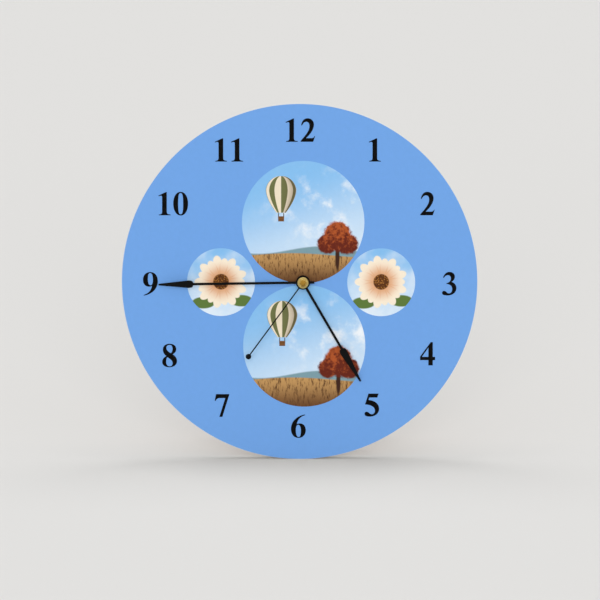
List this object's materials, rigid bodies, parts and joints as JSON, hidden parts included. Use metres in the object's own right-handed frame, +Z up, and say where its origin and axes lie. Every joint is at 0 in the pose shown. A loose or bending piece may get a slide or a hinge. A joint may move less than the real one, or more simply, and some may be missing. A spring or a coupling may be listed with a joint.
{
  "type": "table clock",
  "caption": "Round printed table clock with picture windows on its dial, leaf hands on a battery quartz movement, and a folding wire leg behind.",
  "frame": {"origin": "on the table, below the middle of the dial's disc, half way from the dial's lower front edge to the back of the leg's feet", "axes": "+X to the right seen from the front, +Y from the printed face towards the back, +Z up; the dial leans back by 10 degrees"},
  "size_m": [0.2, 0.0522, 0.1969],
  "materials": {
    "board": "raw fibre board",
    "face": "coated print",
    "numeral_ink": "printed ink",
    "picture_ink": "coated print",
    "hand_black": "satin lacquer",
    "brass": "polished",
    "case_black": "moulded",
    "foam": "closed foam",
    "screw_steel": "zinc plated",
    "wire_steel": "drawn wire",
    "foot_rubber": "matte",
    "gear_white": "moulded",
    "plate_plastic": "moulded",
    "soft_iron": "stamped",
    "copper": "enamelled copper wire",
    "magnet": "sintered",
    "circuit": "phenolic board",
    "resin": "resin",
    "crystal_can": "drawn can",
    "contact": "nickel plated",
    "cell_wrap": "printed wrap"
  },
  "bodies": {
    "clock": {"dial_board": "board", "face_sheet": "face", "hour_numerals": "numeral_ink", "picture_top": "picture_ink", "picture_bottom": "picture_ink", "picture_left": "picture_ink", "picture_right": "picture_ink", "leg_bracket_left": "case_black", "leg_bracket_right": "case_black", "bracket_screws": "screw_steel", "foam_pad": "foam", "front_case": "case_black", "rear_cover": "case_black", "middle_plate": "plate_plastic", "movement_screws": "screw_steel", "cover_screws": "screw_steel", "hanger": "case_black", "battery_contact_minus": "contact", "battery_contact_plus": "contact", "circuit_board": "circuit", "timing_chip": "resin", "quartz_crystal": "crystal_can", "coil_bobbin": "plate_plastic", "coil_winding": "copper", "coil_core": "soft_iron", "stator": "soft_iron"},
    "leg": {"wire_leg": "wire_steel", "leg_feet": "foot_rubber"},
    "second": {"second_hand": "hand_black", "second_hand_bush": "brass", "second_hand_cap": "brass", "second_wheel": "gear_white"},
    "minute": {"minute_hand": "hand_black", "minute_cannon": "brass", "clutch_spring": "contact"},
    "hour": {"hour_hand": "hand_black", "hour_wheel": "gear_white"},
    "centre": {"centre_wheel": "gear_white"},
    "third": {"third_wheel": "gear_white"},
    "intermediate": {"intermediate_wheel": "gear_white"},
    "rotor": {"rotor_magnet": "magnet", "rotor_pinion": "gear_white"},
    "setting": {"motion_wheel": "gear_white", "setting_knob": "case_black"},
    "cell": {"battery": "cell_wrap"}
  },
  "joints": [
    {"name": "second_hand_spin", "type": "hinge", "parent": "clock", "child": "second", "pos_m": [0.0019, -0.00285, 0.09744], "axis": [0, 0.9848, -0.1736], "continuous": true},
    {"name": "intermediate_spin", "type": "hinge", "parent": "clock", "child": "intermediate", "pos_m": [0.00376, -0.00164, 0.10429], "axis": [0, 0.9848, -0.1736], "continuous": true},
    {"name": "rotor_spin", "type": "hinge", "parent": "clock", "child": "rotor", "pos_m": [0.00913, -0.00086, 0.10872], "axis": [0, 0.9848, -0.1736], "continuous": true},
    {"name": "third_spin", "type": "hinge", "parent": "clock", "child": "third", "pos_m": [-0.00696, -0.00258, 0.09898], "axis": [0, 0.9848, -0.1736], "continuous": true},
    {"name": "centre_spin", "type": "hinge", "parent": "clock", "child": "centre", "pos_m": [0.0019, -0.00285, 0.09744], "axis": [0, 0.9848, -0.1736], "continuous": true},
    {"name": "minute_hand_spin", "type": "hinge", "parent": "clock", "child": "minute", "pos_m": [0.0019, -0.00285, 0.09744], "axis": [0, 0.9848, -0.1736], "continuous": true},
    {"name": "setting_spin", "type": "hinge", "parent": "clock", "child": "setting", "pos_m": [0.0115, -0.00285, 0.09744], "axis": [0, 0.9848, -0.1736], "continuous": true},
    {"name": "hour_hand_spin", "type": "hinge", "parent": "clock", "child": "hour", "pos_m": [0.0019, -0.00285, 0.09744], "axis": [0, 0.9848, -0.1736], "continuous": true},
    {"name": "leg_fold", "type": "hinge", "parent": "clock", "child": "leg", "pos_m": [0.0019, 0.00532, 0.12646], "axis": [1, 0, 0], "range_deg": [-18.4, 0]},
    {"name": "battery_slide", "type": "slide", "parent": "clock", "child": "cell", "axis": [0, 0.9848, -0.1736], "range_m": [0, 0.03]}
  ],
  "couplings": [
    {"joint": "intermediate_spin", "follows": "second_hand_spin", "ratio": -5},
    {"joint": "rotor_spin", "follows": "second_hand_spin", "ratio": 30},
    {"joint": "third_spin", "follows": "second_hand_spin", "ratio": -0.125},
    {"joint": "centre_spin", "follows": "second_hand_spin", "ratio": 0.016667},
    {"joint": "setting_spin", "follows": "minute_hand_spin", "ratio": -0.33333},
    {"joint": "hour_hand_spin", "follows": "minute_hand_spin", "ratio": 0.083333}
  ]
}
